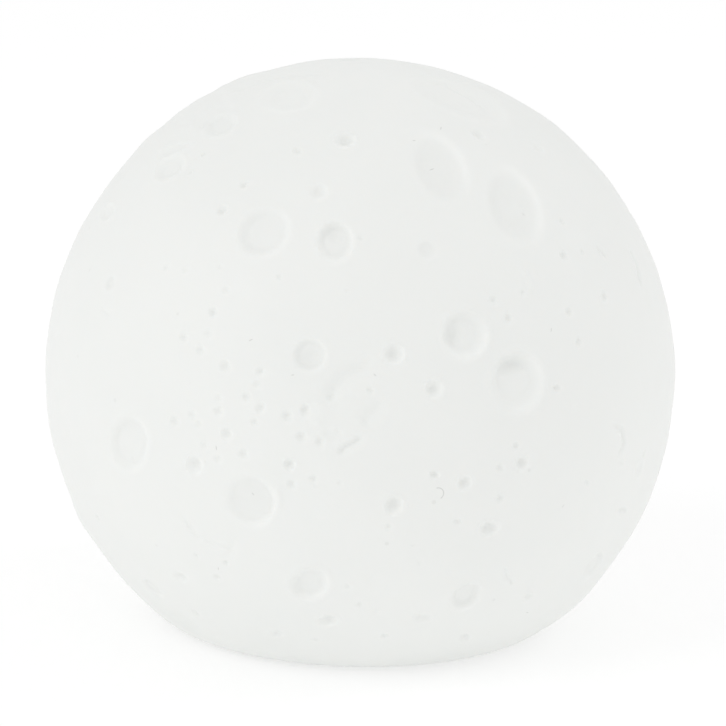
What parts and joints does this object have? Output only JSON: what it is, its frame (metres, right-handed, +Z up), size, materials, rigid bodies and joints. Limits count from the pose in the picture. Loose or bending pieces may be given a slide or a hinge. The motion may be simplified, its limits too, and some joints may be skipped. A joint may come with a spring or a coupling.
{
  "type": "moon lamp",
  "caption": "Ball-shaped moon night light with a soft cratered shade over a rechargeable light core with a push button, a slide switch and a charging port.",
  "frame": {"origin": "on the resting surface, under the middle of the ball", "axes": "+Z up, -Y the front as pictured, +Y the side with the charging port"},
  "size_m": [0.15, 0.15, 0.135],
  "materials": {
    "silicone_white": "soft matt silicone",
    "housing_white": "fine moulded texture",
    "foot_rubber": "matt",
    "screw_steel": "zinc plated",
    "dome_frosted": "frosted translucent",
    "board_white": "white solder mask",
    "led_phosphor": "phosphor gel in a white frame",
    "wire_red": "PVC insulation",
    "wire_black": "PVC insulation",
    "board_green": "green solder mask with tracks",
    "socket_steel": "stamped and plated",
    "plastic_black": "moulded",
    "clear_acrylic": "clear",
    "button_white": "satin",
    "slider_grey": "ribbed",
    "cell_wrap": "shrink wrap",
    "tab_nickel": "spot welded strip",
    "foam_grey": "closed-cell foam",
    "nylon_white": "moulded",
    "sensor_brass": "drawn can",
    "can_aluminium": "drawn can"
  },
  "bodies": {
    "core": {"core_housing": "housing_white", "base_plate": "housing_white", "rubber_feet": "foot_rubber", "base_screws": "screw_steel", "diffuser_dome": "dome_frosted", "led_board": "board_white", "led_chips": "led_phosphor", "led_board_screws": "screw_steel", "led_lead_red": "wire_red", "led_lead_black": "wire_black", "control_board": "board_green", "board_screws": "screw_steel", "usb_socket": "socket_steel", "usb_tongue": "plastic_black", "indicator_led": "led_phosphor", "light_pipe": "clear_acrylic", "tact_switch": "plastic_black", "switch_body": "socket_steel", "battery_cell": "cell_wrap", "battery_tabs": "tab_nickel", "battery_pads": "foam_grey", "battery_lead_red": "wire_red", "battery_lead_black": "wire_black", "battery_connector": "nylon_white", "battery_plug": "nylon_white", "tap_sensor": "sensor_brass", "capacitor": "can_aluminium", "inductor": "plastic_black", "control_chips": "plastic_black"},
    "shade": {"moon_shade": "silicone_white"},
    "button": {"tact_plunger": "plastic_black", "mode_button": "button_white"},
    "slider": {"power_slider": "slider_grey"}
  },
  "joints": [
    {"name": "shade_lift", "type": "slide", "parent": "core", "child": "shade", "axis": [0, 0, 1], "range_m": [0, 0.08]},
    {"name": "button_press", "type": "slide", "parent": "core", "child": "button", "axis": [0, 0, 1], "range_m": [0, 0.0004], "stiffness_N_per_m": 2500},
    {"name": "switch_slide", "type": "slide", "parent": "core", "child": "slider", "axis": [1, 0, 0], "range_m": [0, 0.002]}
  ]
}
